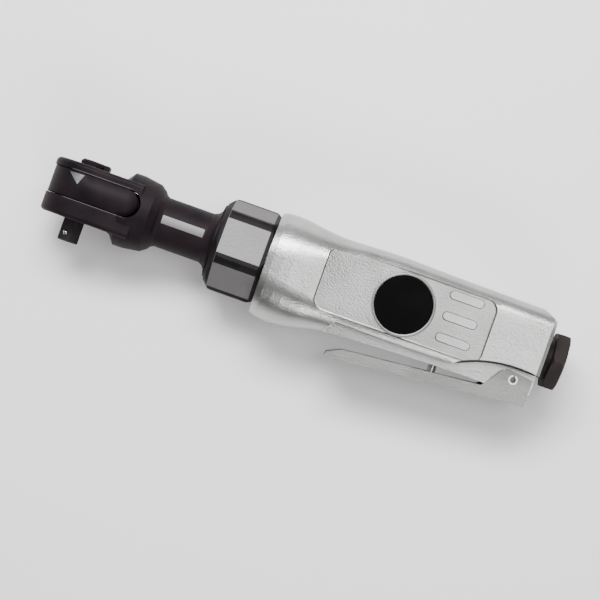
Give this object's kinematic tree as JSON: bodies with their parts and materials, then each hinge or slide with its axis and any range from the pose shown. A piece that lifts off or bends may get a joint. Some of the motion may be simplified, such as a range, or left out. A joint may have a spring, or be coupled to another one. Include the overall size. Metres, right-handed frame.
{
  "type": "air ratchet wrench",
  "caption": "Compact pneumatic ratchet wrench with a square drive, clamp nut, cast motor housing, throttle lever and threaded air inlet.",
  "frame": {"origin": "centre of the air inlet's mouth, on the tool's centre line", "axes": "+X from the drive towards the air inlet's mouth, -Y the way the square drive points, +Z the upper flank as the tool lies on its side"},
  "size_m": [0.2251, 0.0509, 0.0408],
  "materials": {
    "cast_aluminium": "satin cast",
    "black_oxide": "black oxide on forged steel",
    "ground_nut": "black oxide with ground flats",
    "bright_steel": "pressed and brushed",
    "hard_steel": "ground",
    "dark_steel": "dark oiled steel",
    "brown_black": "dark plated",
    "badge_black": "matt",
    "brass": "turned",
    "rubber": "moulded",
    "vane_composite": "laminate",
    "sintered": "porous"
  },
  "bodies": {
    "tool_body": {"motor_housing": "cast_aluminium", "badge_plate": "badge_black", "clamp_nut": "ground_nut", "split_ring": "dark_steel", "nose_seal": "rubber", "ratchet_housing": "black_oxide", "drive_bush": "brass", "knob_side_bush": "brass", "needle_sleeve": "hard_steel", "ring_gear": "hard_steel", "front_end_plate": "hard_steel", "rear_end_plate": "hard_steel", "cylinder_liner": "hard_steel", "liner_dowel": "hard_steel", "front_bearing_race": "hard_steel", "front_bearing_balls": "hard_steel", "rear_bearing_race": "hard_steel", "rear_bearing_balls": "hard_steel", "lever_pin": "hard_steel", "valve_guide": "brass", "valve_spring": "hard_steel", "inlet_bushing": "brown_black", "inlet_screen": "hard_steel", "exhaust_muffler": "sintered"},
    "drive": {"drive_spindle": "dark_steel", "retaining_ring": "dark_steel", "pawl_pin": "hard_steel", "detent_spring": "hard_steel"},
    "ball": {"detent_ball": "hard_steel"},
    "knob": {"reverse_knob": "black_oxide"},
    "pawl_body": {"pawl": "hard_steel"},
    "yoke": {"ratchet_yoke": "dark_steel"},
    "crank": {"crankshaft": "hard_steel", "crank_block": "hard_steel"},
    "motor": {"rotor": "hard_steel", "rotor_vanes": "vane_composite", "front_bearing_inner": "hard_steel", "rear_bearing_inner": "hard_steel"},
    "planet_a": {"planet_gear_1": "hard_steel"},
    "planet_b": {"planet_gear_2": "hard_steel"},
    "planet_c": {"planet_gear_3": "hard_steel"},
    "lever": {"throttle_lever": "bright_steel"},
    "valve": {"valve_stem": "hard_steel"}
  },
  "joints": [
    {"name": "drive_spin", "type": "hinge", "parent": "tool_body", "child": "drive", "pos_m": [-0.21, 0, 0], "axis": [0, -1, 0], "continuous": true},
    {"name": "ball_press", "type": "slide", "parent": "drive", "child": "ball", "axis": [0.5592, 0, -0.829], "range_m": [0, 0.0005], "stiffness_N_per_m": 400, "deforming": ["detent_spring"]},
    {"name": "knob_turn", "type": "hinge", "parent": "drive", "child": "knob", "pos_m": [-0.21, 0, 0], "axis": [0, 1, 0], "range_deg": [0, 60]},
    {"name": "pawl_rock", "type": "hinge", "parent": "drive", "child": "pawl_body", "pos_m": [-0.21, 0, 0.0046], "axis": [0, 1, 0], "range_deg": [0, 6]},
    {"name": "yoke_rock", "type": "hinge", "parent": "tool_body", "child": "yoke", "pos_m": [-0.21, 0, 0], "axis": [0, 1, 0], "range_deg": [-3.5, 3.5]},
    {"name": "rotor_spin", "type": "hinge", "parent": "tool_body", "child": "motor", "pos_m": [-0.108, 0, 0], "axis": [1, 0, 0], "continuous": true},
    {"name": "carrier_spin", "type": "hinge", "parent": "tool_body", "child": "crank", "pos_m": [-0.14, 0, 0], "axis": [1, 0, 0], "continuous": true},
    {"name": "lever_press", "type": "hinge", "parent": "tool_body", "child": "lever", "pos_m": [-0.01765, -0.0129, 0], "axis": [0, 0, -1], "range_deg": [0, 5], "stiffness_Nm_per_rad": 0.4},
    {"name": "stem_slide", "type": "slide", "parent": "tool_body", "child": "valve", "axis": [0, 1, 0], "range_m": [0, 0.00285], "deforming": ["valve_spring"]},
    {"name": "planet_a_spin", "type": "hinge", "parent": "crank", "child": "planet_a", "pos_m": [-0.139, 0.00788, 0], "axis": [1, 0, 0], "continuous": true},
    {"name": "planet_b_spin", "type": "hinge", "parent": "crank", "child": "planet_b", "pos_m": [-0.139, -0.00394, 0.00682], "axis": [1, 0, 0], "continuous": true},
    {"name": "planet_c_spin", "type": "hinge", "parent": "crank", "child": "planet_c", "pos_m": [-0.139, -0.00394, -0.00682], "axis": [1, 0, 0], "continuous": true}
  ],
  "couplings": [
    {"joint": "pawl_rock", "follows": "knob_turn", "ratio": 0.1},
    {"joint": "carrier_spin", "follows": "rotor_spin", "ratio": 0.21429},
    {"joint": "stem_slide", "follows": "lever_press", "m_per_rad": 0.0321},
    {"joint": "planet_a_spin", "follows": "rotor_spin", "ratio": -0.58929},
    {"joint": "planet_b_spin", "follows": "rotor_spin", "ratio": -0.58929},
    {"joint": "planet_c_spin", "follows": "rotor_spin", "ratio": -0.58929}
  ]
}
